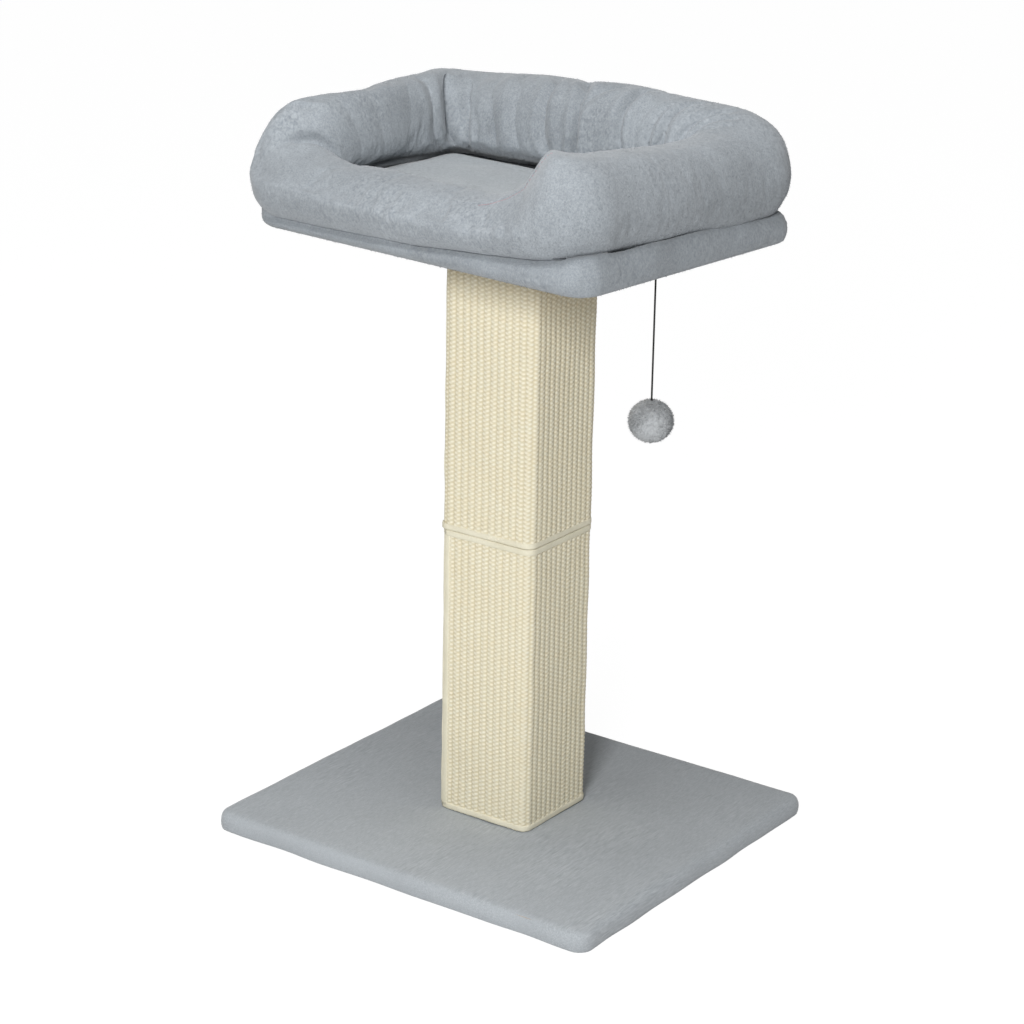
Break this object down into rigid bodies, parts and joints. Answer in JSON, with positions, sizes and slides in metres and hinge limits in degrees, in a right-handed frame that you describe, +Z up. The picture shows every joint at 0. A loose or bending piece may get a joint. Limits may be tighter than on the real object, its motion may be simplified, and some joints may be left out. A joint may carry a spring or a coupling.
{
  "type": "cat scratcher with bed",
  "caption": "Free-standing cat scratcher: plush base, square sisal-wrapped post, padded platform, a walled plush bed that lifts off, and a ball toy on a cord.",
  "frame": {"origin": "On the floor under the post's axis, at the middle of the base's underside.", "axes": "+Z is up along the post, -Y is the entry side of the bed, and +X is the side that the ball toy hangs on."},
  "size_m": [0.45, 0.4, 0.743],
  "materials": {
    "plush": "matte",
    "sisal": "matte",
    "tape": "matte",
    "board": "matte",
    "steel": "satin",
    "fibre": "matte",
    "lining": "matte",
    "strip": "matte",
    "cord": "matte"
  },
  "bodies": {
    "stand": {"base_staples": "steel", "base_board": "board", "base_cover": "plush", "base_bolt": "steel", "base_washer": "steel", "joint_stud": "steel", "platform_staples": "steel", "platform_board": "board", "platform_padding": "fibre", "platform_cover": "plush", "platform_washer": "steel", "platform_bolt": "steel", "hook_strips": "strip", "toy_staple": "steel", "lower_panel_nails": "steel", "lower_front_panel": "board", "lower_back_panel": "board", "lower_left_panel": "board", "lower_right_panel": "board", "lower_bottom_plate": "board", "lower_top_plate": "board", "lower_tee_nuts": "steel", "lower_wrap_binding": "tape", "lower_sisal_wrap": "sisal", "upper_panel_nails": "steel", "upper_front_panel": "board", "upper_back_panel": "board", "upper_left_panel": "board", "upper_right_panel": "board", "upper_bottom_plate": "board", "upper_top_plate": "board", "upper_tee_nuts": "steel", "upper_wrap_binding": "tape", "upper_sisal_wrap": "sisal"},
    "bed": {"loop_strips": "strip", "bed_bottom": "lining", "bolster_cover": "plush", "bolster_fill": "fibre", "pad_cover": "plush", "pad_fill": "fibre"},
    "toy_loop": {"toy_cord_loop": "cord"},
    "toy": {"toy_cord": "cord", "toy_ball_cover": "plush", "toy_ball_core": "fibre"}
  },
  "joints": [
    {"name": "bed_lift", "type": "slide", "parent": "stand", "child": "bed", "axis": [0, 0, 1], "range_m": [0, 0.12]},
    {"name": "toy_swing_out", "type": "hinge", "parent": "stand", "child": "toy_loop", "pos_m": [0.16138, -0.01412, 0.6143], "axis": [-0.0872, -0.9962, 0], "range_deg": [-30, 70]},
    {"name": "toy_swing_side", "type": "hinge", "parent": "toy_loop", "child": "toy", "pos_m": [0.16138, -0.01412, 0.6036], "axis": [0.9962, -0.0872, 0], "range_deg": [-70, 70]}
  ]
}
